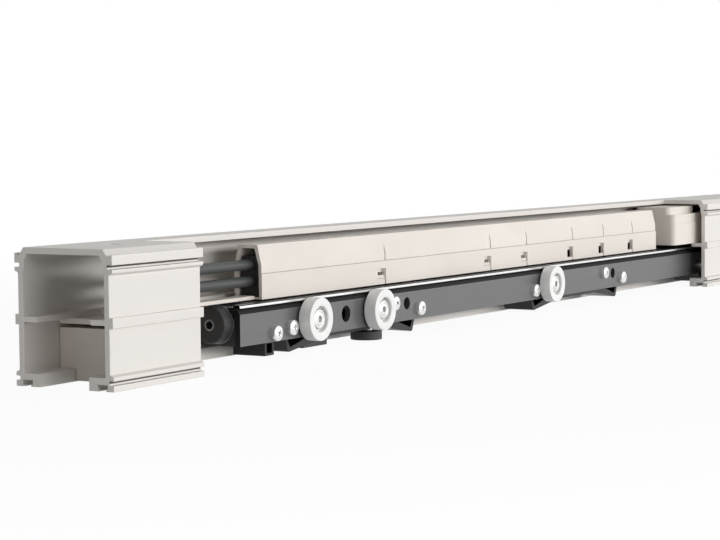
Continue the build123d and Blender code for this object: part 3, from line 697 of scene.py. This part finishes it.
for number in STATORS:
    lid_name = f"stator_lid_{number}"
    base_name = f"stator_base_{number}"
    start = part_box(lid_name)[0].x
    below_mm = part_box(base_name)[0].z / MM - CUT_PAST_MM
    lid = shaped_lid(lid_name)
    base = shaped_base(base_name, start)
    cut_grooves(lid, start, GROOVE_FOOT_MM, GROOVE_TOP_MM)
    cut_grooves(base, start, below_mm, WINDOW_TOP_MM[1])
    for piece, node in ((lid, lid_name), (base, base_name)):
        settle(round_edges(piece, CASING_ROUND_MM))
        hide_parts(node)
        dress(piece, node)
        print(node, "faces", len(piece.data.polygons))

# %% [markdown]
# The bar has a narrow groove under each edge of the back iron, and its shade draws a black line below the
# bright strip. It is cut from the copy by two long boxes before the edges are rounded.

# %% Carriage bar
GROOVE_HEIGHT_MM = 0.9
GROOVE_DEPTH_MM = 1.8
BAR_ROUND_MM = 0.25
BAR_TOP_HALF_MM = 11.3

bar = merged_copy("carriage_bar", "carriage_bar_finished")
bar_low, bar_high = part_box("carriage_bar")
past_bar = CUT_PAST_MM * MM
for side in (-1, 1):
    reach = sorted((side * (BAR_TOP_HALF_MM - GROOVE_DEPTH_MM) * MM, side * 2 * BAR_TOP_HALF_MM * MM))
    under = (bar_low.x - past_bar, reach[0], bar_high.z - GROOVE_HEIGHT_MM * MM)
    use_cutter(bar, box_between(under, (bar_high.x + past_bar, reach[1], bar_high.z + past_bar)))
settle(round_edges(bar, BAR_ROUND_MM))
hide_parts("carriage_bar")
dress(bar, "carriage_bar")
print("bar faces", len(bar.data.polygons))

# %% [markdown]
# Rollers, bearings, bolts, buffers and guide rollers are turned. A profile could be spun, but a lathe works
# from a blank, and so does this: a cylinder about the Y axis, whose end faces are stepped in from the rim
# towards the middle. A step of (inset, rise) walks the face inwards and outwards at once, and a step with
# no inset is a straight wall.

# %% Turned pieces
QUARTER_TURN = math.pi / 2
HALF_TURN = math.pi
FACING = 0.99
WALL_CORNERS = 4


def is_end(face, sides=(-1, 1)):
    """True for an end face: it looks along Y, to one of the sides, and has more corners than a wall has."""
    return any(face.normal.y * side > FACING for side in sides) and len(face.verts) > WALL_CORNERS


def step_face(piece, side, steps_mm):
    """Steps the end face on one side, -1 or 1 along Y, by (inset, rise) pairs from the rim inwards."""
    pick(piece, "FACE", lambda face: is_end(face, (side,)))
    for inset, rise in steps_mm:
        if inset:
            bpy.ops.mesh.inset(thickness=inset * MM, depth=rise * MM)
        else:
            push = {"value": (0, side * rise * MM, 0)}
            bpy.ops.mesh.extrude_region_move(TRANSFORM_OT_translate=push)


def turned(name, radius_mm, width_mm, front_steps, back_steps=(), bored=False, sides=72):
    """A blank from y = 0 forwards to y = -width, with stepped faces and, if bored, a hole through."""
    bpy.ops.mesh.primitive_cylinder_add(
        vertices=sides, radius=radius_mm * MM, depth=width_mm * MM,
        location=(0, -width_mm / 2 * MM, 0), rotation=(QUARTER_TURN, 0, 0),
    )
    piece = bpy.context.object
    piece.name = name
    bpy.ops.object.transform_apply(location=True, rotation=True, scale=True)
    bpy.ops.object.mode_set(mode="EDIT")
    step_face(piece, -1, front_steps)
    step_face(piece, 1, back_steps)
    if bored:
        pick(piece, "FACE", is_end)
        bpy.ops.mesh.bridge_edge_loops()
    bpy.ops.mesh.select_all(action="SELECT")
    bpy.ops.mesh.normals_make_consistent(inside=False)
    bpy.ops.object.mode_set(mode="OBJECT")
    return piece


def copy_to(blank, name, place, turn=0.0, roll=0.0):
    """A copy with its own mesh, rolled about its own Y axis, turned about Z and moved to its place."""
    piece = bpy.data.objects.new(name, blank.data.copy())
    bpy.context.scene.collection.objects.link(piece)
    spin = Matrix.Rotation(turn, 4, "Z") @ Matrix.Rotation(roll, 4, "Y")
    piece.data.transform(Matrix.Translation(place) @ spin)
    return piece


def drop(*blanks):
    """Removes blanks once they are copied."""
    for blank in blanks:
        bpy.data.objects.remove(blank)


def middle_of(box):
    """The middle of a box given by its two corners."""
    return (box[0] + box[1]) / 2


def radius_mm_of(box):
    """Half the height of a box, which is the radius of what lies in it along X or Y."""
    return (box[1].z - box[0].z) / 2 / MM


print("rollers to turn", sum(name.startswith("roller_") for name in frame["nodes"]))

# %% [markdown]
# A roller is a white acetal tyre, turned flat on its face with small broken edges, pressed on a ball
# bearing. Its bore is as wide as the bearing, which sits half a millimetre from the tyre's back face, so
# from the front the bearing lies deep in a round well.

# %% Rollers and bearings
TYRE_ROUND_MM = 0.6
WELL_BREAK_MM = 0.5
RACE_ROUND_MM = 0.12
AXLE_RADIUS_MM = 3.1
RACE_MM = 1.15
SHIELD_DROP_MM = 0.35
SIDES = {"front": 0.0, "back": HALF_TURN}
ROLLER_PAIRS = (1, 2, 3, 4)

roller_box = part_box("roller_1_front")
bearing_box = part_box("bearing_1_front")
tyre_radius = radius_mm_of(roller_box)
tyre_width = (roller_box[1].y - roller_box[0].y) / MM
bearing_radius = radius_mm_of(bearing_box)
bearing_width = (bearing_box[1].y - bearing_box[0].y) / MM
seat = tyre_radius - bearing_radius
well_steps = [(seat - WELL_BREAK_MM, 0), (WELL_BREAK_MM, -WELL_BREAK_MM)]
tyre = turned("tyre", tyre_radius, tyre_width, well_steps, [(seat, 0)], bored=True)
settle(round_edges(tyre, TYRE_ROUND_MM, segments=3))
shield = bearing_radius - 2 * RACE_MM - AXLE_RADIUS_MM
bearing_steps = [(RACE_MM, 0), (0, -SHIELD_DROP_MM), (shield, 0), (0, SHIELD_DROP_MM), (RACE_MM, 0)]
race = turned("race", bearing_radius, bearing_width, bearing_steps, bearing_steps, bored=True)
settle(round_edges(race, RACE_ROUND_MM))


def back_face(node, side):
    """The middle of a wheel piece's face towards the bar."""
    low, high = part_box(node)
    middle = middle_of((low, high))
    middle.y = high.y if side == "front" else low.y
    return middle


for number in ROLLER_PAIRS:
    for side, turn in SIDES.items():
        for kind, blank in (("roller", tyre), ("bearing", race)):
            node = f"{kind}_{number}_{side}"
            piece = copy_to(blank, f"{node}_turned", back_face(node, side), turn)
            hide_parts(node)
            dress(piece, node)
drop(tyre, race)
print("tyre radius", round(tyre_radius, 2), "mm, width", round(tyre_width, 2), "mm")

# %% [markdown]
# A group of fasteners shares one node, so the group's separate solids are told apart by walking from
# corner to corner of its merged mesh. Each one gives a box, and each box a place for a copy.

# %% Solids of a group
SAME_PLACE_DIGITS = 4


def solids_of(node):
    """The box of each separate solid of a CAD node, from left to right and front to back."""
    mesh = bmesh.new()
    mesh.from_mesh(frame["nodes"][node].data)
    bmesh.ops.remove_doubles(mesh, verts=mesh.verts, dist=WELD)
    left = set(mesh.verts)
    boxes = []
    while left:
        to_visit = [left.pop()]
        corners = []
        while to_visit:
            corner = to_visit.pop()
            corners.append(corner.co.copy())
            for edge in corner.link_edges:
                other = edge.other_vert(corner)
                if other in left:
                    left.remove(other)
                    to_visit.append(other)
        low = Vector([min(point[axis] for point in corners) for axis in range(3)])
        high = Vector([max(point[axis] for point in corners) for axis in range(3)])
        boxes.append((low, high))
    mesh.free()
    return sorted(boxes, key=lambda box: (round(box[0].x, SAME_PLACE_DIGITS), box[0].y))


def joined(pieces, name):
    """Joins pieces into one object under the given name."""
    bpy.ops.object.select_all(action="DESELECT")
    for piece in pieces:
        piece.select_set(True)
    bpy.context.view_layer.objects.active = pieces[0]
    bpy.ops.object.join()
    whole = bpy.context.object
    whole.name = name
    return whole


screw_boxes = solids_of("carriage_screws")
bolt_boxes = solids_of("axle_bolts")
print("solids of carriage_screws", len(screw_boxes), "and of axle_bolts", len(bolt_boxes))

# %% [markdown]
# The bar's screws are pan heads with a cross recess. The dome is the cylinder's face, stepped in four
# times, and the recess is cut by two crossed wedges that narrow with depth, as the driver's tip does.
# No two screws stop at the same angle, so each copy is rolled by its own amount.

# %% Pan head screws
HEAD_RADIUS_MM = 4.0
HEAD_HEIGHT_MM = 3.3
SHANK_RADIUS_MM = 2.5
DOME_STEPS_MM = [(0.15, 0.35), (0.4, 0.3), (0.8, 0.2), (1.2, 0.1)]
CROSS_LENGTH_MM = 4.3
CROSS_WIDTH_MM = 1.05
CROSS_DEPTH_MM = 1.9
CROSS_TIP = (0.45, 1, 0.54)
HEAD_ROUND_MM = 0.1
HEAD_CORNER = 40
ROLL_SEED = 4


def cut_cross(piece, face_y_mm):
    """Cuts a cross recess into the face at the given y."""
    for turn in (0, QUARTER_TURN):
        bpy.ops.mesh.primitive_cube_add(size=1, location=(0, face_y_mm * MM, 0))
        wedge = bpy.context.object
        wedge.scale = (CROSS_LENGTH_MM * MM, 2 * CROSS_DEPTH_MM * MM, CROSS_WIDTH_MM * MM)
        bpy.ops.object.transform_apply(location=True, rotation=True, scale=True)
        bpy.ops.object.mode_set(mode="EDIT")
        pick(wedge, "FACE", lambda face: face.normal.y > FACING)
        bpy.ops.transform.resize(value=CROSS_TIP)
        bpy.ops.object.mode_set(mode="OBJECT")
        wedge.data.transform(Matrix.Rotation(turn, 4, "Y"))
        use_cutter(piece, wedge)


screw_length = (screw_boxes[0][1].y - screw_boxes[0][0].y) / MM
body_height = HEAD_HEIGHT_MM - sum(rise for _, rise in DOME_STEPS_MM)
shank_steps = [(HEAD_RADIUS_MM - SHANK_RADIUS_MM, 0), (0, screw_length - HEAD_HEIGHT_MM)]
pan_head = turned("pan_head", HEAD_RADIUS_MM, body_height, DOME_STEPS_MM, shank_steps, sides=48)
cut_cross(pan_head, -HEAD_HEIGHT_MM)
settle(round_edges(pan_head, HEAD_ROUND_MM, corner=HEAD_CORNER))

random.seed(ROLL_SEED)
screws = []
for box in screw_boxes:
    place = middle_of(box)
    place.y = bar_low.y
    screws.append(copy_to(pan_head, "screw", place, roll=random.uniform(0, QUARTER_TURN)))
drop(pan_head)
screws = joined(screws, "carriage_screws_turned")
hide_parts("carriage_screws")
dress(screws, "carriage_screws")
print("pan head screws", len(screw_boxes))

# %% [markdown]
# The axle bolts have low, slightly domed heads with a raised ring and a hexagon socket. Behind each head
# the shank runs through the bearing, a spacer washer and the bar's web. Both kinds of solid are in one
# node, and only the bolts are longer than 5 mm.

# %% Axle bolts
BOLT_HEAD_RADIUS_MM = 5.25
BOLT_HEAD_HEIGHT_MM = 1.2
BOLT_RADIUS_MM = 3.0
BOLT_FACE_STEPS_MM = [(0.35, 0.3), (0.75, 0.1), (0.3, -0.25), (0.5, 0.0), (0.25, 0.25), (0.6, 0.05)]
SOCKET_RADIUS_MM = 1.9
SOCKET_DEPTH_MM = 1.6
SIXTH_TURN = math.pi / 3
WASHER_ROUND_MM = 0.15
LONGEST_WASHER_MM = 5


def cut_socket(piece, face_y_mm):
    """Cuts a hexagon socket into the face at the given y."""
    bpy.ops.mesh.primitive_cylinder_add(
        vertices=6, radius=SOCKET_RADIUS_MM * MM, depth=2 * SOCKET_DEPTH_MM * MM,
        location=(0, face_y_mm * MM, 0), rotation=(QUARTER_TURN, 0, 0),
    )
    key = bpy.context.object
    bpy.ops.object.transform_apply(location=True, rotation=True, scale=True)
    use_cutter(piece, key)


long_ones = [box for box in bolt_boxes if box[1].y - box[0].y > LONGEST_WASHER_MM * MM]
washers = [box for box in bolt_boxes if box[1].y - box[0].y <= LONGEST_WASHER_MM * MM]
bolt_length = (long_ones[0][1].y - long_ones[0][0].y) / MM
bolt_rim = BOLT_HEAD_HEIGHT_MM - sum(rise for _, rise in BOLT_FACE_STEPS_MM)
bolt_back_steps = [(BOLT_HEAD_RADIUS_MM - BOLT_RADIUS_MM, 0), (0, bolt_length - BOLT_HEAD_HEIGHT_MM)]
axle_bolt = turned(
    "axle_bolt", BOLT_HEAD_RADIUS_MM, bolt_rim, BOLT_FACE_STEPS_MM, bolt_back_steps, sides=48,
)
cut_socket(axle_bolt, -BOLT_HEAD_HEIGHT_MM)
settle(round_edges(axle_bolt, HEAD_ROUND_MM, corner=HEAD_CORNER))
washer_width = (washers[0][1].y - washers[0][0].y) / MM
washer_radius = radius_mm_of(washers[0])
washer_steps = [(washer_radius - BOLT_RADIUS_MM, 0)]
washer = turned("washer", washer_radius, washer_width, washer_steps, washer_steps, bored=True, sides=48)
settle(round_edges(washer, WASHER_ROUND_MM))

fasteners = []
for low, high in long_ones:
    front = low.y < 0
    place = middle_of((low, high))
    place.y = low.y + BOLT_HEAD_HEIGHT_MM * MM if front else high.y - BOLT_HEAD_HEIGHT_MM * MM
    turn = 0.0 if front else HALF_TURN
    fasteners.append(copy_to(axle_bolt, "bolt", place, turn, roll=random.uniform(0, SIXTH_TURN)))
for low, high in washers:
    front = low.y < 0
    place = middle_of((low, high))
    place.y = high.y if front else low.y
    fasteners.append(copy_to(washer, "washer", place, 0.0 if front else HALF_TURN))
drop(axle_bolt, washer)
bolts = joined(fasteners, "axle_bolts_turned")
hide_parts("axle_bolts")
dress(bolts, "axle_bolts")
print("axle bolts", len(long_ones), "washers", len(washers))

# %% [markdown]
# A buffer is a rubber disc at each end of the bar. It narrows a little towards its face, so that it comes
# out of its mould, and its rim is rounded to meet the stop softly. A tubular steel screw runs through it: a
# thin flange behind the rubber, a collar whose rim shows as a ring round a deep bore, and a shank in the
# bar. The disc ends a hair short of the CAD model's, which touches the stop at the end of the travel.

# %% Buffers
FLANGE_MM = 0.8
FLANGE_RADIUS_MM = 10.05
COLLAR_RADIUS_MM = 2.85
COLLAR_BORE_RADIUS_MM = 2.05
COLLAR_BORE_DEPTH_MM = 9.0
STOP_CLEARANCE_MM = 0.02
RIM_STEPS_MM = [(0.25, 0.45), (0.4, 0.25), (0.7, 0.1)]
BUFFER_TAPER = (0.965, 1, 0.965)
TAPER_CLEAR = 1.2
RUBBER_ROUND_MM = 0.2
TUBE_ROUND_MM = 0.12

buffer_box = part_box("buffer_left")
buffer_radius = radius_mm_of(buffer_box)
rubber_length = (buffer_box[1].x - buffer_box[0].x) / MM - FLANGE_MM - STOP_CLEARANCE_MM
rim_inset = sum(inset for inset, _ in RIM_STEPS_MM)
rim_rise = sum(rise for _, rise in RIM_STEPS_MM)
rim_steps = RIM_STEPS_MM + [(buffer_radius - rim_inset - COLLAR_RADIUS_MM, 0.0)]
buffer_blank = turned(
    "buffer", buffer_radius, rubber_length - rim_rise,
    rim_steps, [(buffer_radius - COLLAR_RADIUS_MM, 0)], bored=True, sides=96,
)


def is_outer_front(face):
    """True for a face whose corners are all in the buffer's front half and clear of its bore."""
    clear = TAPER_CLEAR * COLLAR_RADIUS_MM * MM
    places = [corner.co for corner in face.verts]
    return all(place.y < -rubber_length / 2 * MM and place.xz.length > clear for place in places)


bpy.ops.object.mode_set(mode="EDIT")
pick(buffer_blank, "FACE", is_outer_front)
bpy.ops.transform.resize(value=BUFFER_TAPER, center_override=(0, 0, 0))
bpy.ops.object.mode_set(mode="OBJECT")
settle(round_edges(buffer_blank, RUBBER_ROUND_MM, corner=HEAD_CORNER))

tube_box = solids_of("buffer_screws")[0]
shank_length = (tube_box[1].x - buffer_box[1].x) / MM
shank_radius = radius_mm_of(tube_box)
tube_front = [
    (FLANGE_RADIUS_MM - COLLAR_RADIUS_MM, 0), (0, rubber_length),
    (COLLAR_RADIUS_MM - COLLAR_BORE_RADIUS_MM, 0), (0, -COLLAR_BORE_DEPTH_MM),
]
tube_back = [(FLANGE_RADIUS_MM - shank_radius, 0), (0, shank_length)]
tube = turned("tubular_screw", FLANGE_RADIUS_MM, FLANGE_MM, tube_front, tube_back, sides=96)
settle(round_edges(tube, TUBE_ROUND_MM, corner=HEAD_CORNER))
tubes = []
for side, turn, way in (("left", -QUARTER_TURN, -1), ("right", QUARTER_TURN, 1)):
    low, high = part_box(f"buffer_{side}")
    foot = middle_of((low, high))
    foot.x = high.x if side == "left" else low.x
    tubes.append(copy_to(tube, "tube", foot, turn))
    foot.x += way * FLANGE_MM * MM
    piece = copy_to(buffer_blank, f"buffer_{side}_turned", foot, turn)
    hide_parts(f"buffer_{side}")
    dress(piece, f"buffer_{side}")
drop(buffer_blank, tube)
tubes = joined(tubes, "buffer_screws_turned")
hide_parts("buffer_screws")
dress(tubes, "buffer_screws")
print("buffer radius", round(buffer_radius, 2), "mm, shank length", round(shank_length, 2), "mm")

# %% [markdown]
# The guide rollers lie flat below the hangers: black discs with broken rims, and a well on their underside
# for the pin's head. They are turned as the others are, and tipped over before they are copied.

# %% Guide rollers
GUIDE_RIM_MM = (0.3, 0.25)
PIN_BORE_RADIUS_MM = 2.6
PIN_WELL_RADIUS_MM = 4.3
PIN_WELL_DEPTH_MM = 1.2
GUIDE_ROUND_MM = 0.15

guide_low, guide_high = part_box("guide_roller_front")
guide_radius = (guide_high.x - guide_low.x) / 2 / MM
guide_height = (guide_high.z - guide_low.z) / MM
rim_inset, rim_rise = GUIDE_RIM_MM
under_steps = [
    GUIDE_RIM_MM, (guide_radius - rim_inset - PIN_WELL_RADIUS_MM, 0), (0, -PIN_WELL_DEPTH_MM),
    (PIN_WELL_RADIUS_MM - PIN_BORE_RADIUS_MM, 0),
]
over_steps = [GUIDE_RIM_MM, (guide_radius - rim_inset - PIN_BORE_RADIUS_MM, 0)]
guide_blank = turned(
    "guide", guide_radius, guide_height - 2 * rim_rise, under_steps, over_steps, bored=True, sides=96,
)
settle(round_edges(guide_blank, GUIDE_ROUND_MM, corner=HEAD_CORNER))
guide_blank.data.transform(Matrix.Rotation(QUARTER_TURN, 4, "X"))
for side in SIDES:
    low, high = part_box(f"guide_roller_{side}")
    top = middle_of((low, high))
    top.z = high.z - rim_rise * MM
    piece = copy_to(guide_blank, f"guide_roller_{side}_turned", top)
    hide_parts(f"guide_roller_{side}")
    dress(piece, f"guide_roller_{side}")
drop(guide_blank)
print("guide roller radius", round(guide_radius, 2), "mm")

# %% [markdown]
# Two grey cables run from the plug to the stator. They are soft, so they aren't dead straight: each is a
# smooth curve that strays by a tenth of a millimetre or so, made round by the curve's own bevel.

# %% Motor cables
CABLE_FIT = 0.985
CABLE_STRAYS = (0, 0.6, -0.4, 0.5, 0, 0)
SIDE_PLAY_MM = 0.25
UP_PLAY_MM = 0.15
CABLE_CURVE_STEPS = 12
CABLE_ROUND_STEPS = 8


def cable(node, way):
    """A round cable along a CAD cable's line, which strays from it one way, 1, or the other, -1."""
    low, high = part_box(node)
    middle = middle_of((low, high))
    line = bpy.data.curves.new(f"{node}_line", "CURVE")
    line.dimensions = "3D"
    line.resolution_u = CABLE_CURVE_STEPS
    line.bevel_depth = (high.z - low.z) / 2 * CABLE_FIT
    line.bevel_resolution = CABLE_ROUND_STEPS
    line.use_fill_caps = True
    spline = line.splines.new("NURBS")
    last = len(CABLE_STRAYS) - 1
    spline.points.add(last)
    for at, (point, stray) in enumerate(zip(spline.points, CABLE_STRAYS)):
        x = low.x + (high.x - low.x) * at / last
        aside = way * stray * MM
        point.co = (x, middle.y + aside * SIDE_PLAY_MM, middle.z + aside * UP_PLAY_MM, 1)
    spline.order_u = 3
    spline.use_endpoint_u = True
    piece = bpy.data.objects.new(f"{node}_sheathed", line)
    bpy.context.scene.collection.objects.link(piece)
    only(piece)
    bpy.ops.object.convert(target="MESH")
    piece = bpy.context.object
    bpy.ops.object.shade_smooth_by_angle(angle=SMOOTH_ANGLE)
    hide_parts(node)
    dress(piece, node)
    return piece


cables = [cable("power_cable_upper", 1), cable("power_cable_lower", -1)]
print("cables", len(cables))

# %% [markdown]
# The stage: a white floor under the beam and plain soft light. A long, low softbox in front reaches into
# the open window, and a weak one above it softens the top faces. The background is white because the floor
# and the sky show white to the camera and in reflections, and not because the lamps are strong. Near the
# beam the floor still shows some of its own shading, so that the shadow stays.

# %% Stage and light
FLOOR_SIZE = 14.0
FLOOR_COLOUR = "#F4F4F4"
FLOOR_ROUGHNESS = 0.9
WHITE = "#FFFFFF"
NEAR_WHITE_SHARE = 0.94
SHADOW_REACH = (1.4, 0.7)
SHADOW_FADE = (0.5, 1.0)
SKY_STRENGTH = 0.26
# Each lamp's place, its target and its size, in metres, and its strength in watts.
LAMPS = {
    "front": ((0.65, -2.2, 0.46), (0.65, 0, 0.06), (4.6, 0.42), 51.0),
    "high": ((0.5, -1.7, 1.4), (0.3, 0, 0.05), (3.4, 0.9), 3.0),
}


def seen_directly(tree):
    """1 for rays from the camera, in a reflection or through glass, and 0 for the light itself."""
    path = add_node(tree, "ShaderNodeLightPath").outputs
    either = {0: path["Is Camera Ray"], 1: path["Is Glossy Ray"]}
    first = add_node(tree, "ShaderNodeMath", either, operation="MAXIMUM")
    all_three = {0: first.outputs["Value"], 1: path["Is Transmission Ray"]}
    return add_node(tree, "ShaderNodeMath", all_three, operation="MAXIMUM").outputs["Value"]


def white_floor():
    """A pale floor that glows plain white where it is seen, a little less so near the beam."""
    material, tree, skin, place = new_finish("white_floor", Roughness=FLOOR_ROUGHNESS)
    skin.inputs["Base Color"].default_value = linear(FLOOR_COLOUR)
    glow = add_node(tree, "ShaderNodeEmission", {"Color": linear(WHITE), "Strength": 1.0})
    shrink = (1 / SHADOW_REACH[0], 1 / SHADOW_REACH[1], 1)
    shrunk = add_node(tree, "ShaderNodeMapping", {"Vector": place, "Scale": shrink}).outputs["Vector"]
    away = add_node(tree, "ShaderNodeVectorMath", {0: shrunk}, operation="LENGTH").outputs["Value"]
    near, far = SHADOW_FADE
    limits = {"Value": away, "From Min": near, "From Max": far, "To Min": NEAR_WHITE_SHARE, "To Max": 1.0}
    white = add_node(tree, "ShaderNodeMapRange", limits, interpolation_type="SMOOTHSTEP").outputs["Result"]
    share = {0: seen_directly(tree), 1: white}
    factor = add_node(tree, "ShaderNodeMath", share, operation="MULTIPLY").outputs["Value"]
    mixed = {"Fac": factor, 1: skin.outputs["BSDF"], 2: glow.outputs["Emission"]}
    both = add_node(tree, "ShaderNodeMixShader", mixed)
    tree.links.new(both.outputs["Shader"], tree.nodes["Material Output"].inputs["Surface"])
    return material


def white_sky():
    """A sky that is white where it is seen and gives only a weak, even light."""
    world = bpy.data.worlds.new("white_sky")
    bpy.context.scene.world = world
    world.use_nodes = True
    tree = world.node_tree
    glow = tree.nodes["Background"]
    glow.inputs["Color"].default_value = linear(WHITE)
    levels = {"Value": seen_directly(tree), "To Min": SKY_STRENGTH, "To Max": 1.0}
    tree.links.new(add_node(tree, "ShaderNodeMapRange", levels).outputs["Result"], glow.inputs["Strength"])


def soft_lamp(name, place, target, size, strength):
    """A rectangular softbox, turned towards a target."""
    bpy.ops.object.light_add(type="AREA", location=place)
    lamp = bpy.context.object
    lamp.name = name
    lamp.data.shape = "RECTANGLE"
    lamp.data.size, lamp.data.size_y = size
    lamp.data.energy = strength
    lamp.rotation_euler = (Vector(target) - Vector(place)).to_track_quat("-Z", "Y").to_euler()


bpy.ops.mesh.primitive_plane_add(size=FLOOR_SIZE, location=(0, 0, 0))
floor = bpy.context.object
floor.name = "floor"
floor.data.materials.append(white_floor())
floor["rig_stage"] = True
white_sky()
for name, settings in LAMPS.items():
    soft_lamp(name, *settings)
bpy.context.scene.view_settings.view_transform = "Standard"
print("lamps", list(LAMPS))

# %% [markdown]
# The dressed model is meant to fill the same box as the CAD model; here its box is printed.

# %% Sizes
low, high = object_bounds()
print("visual box", [round(value, 4) for value in (*low, *high)])
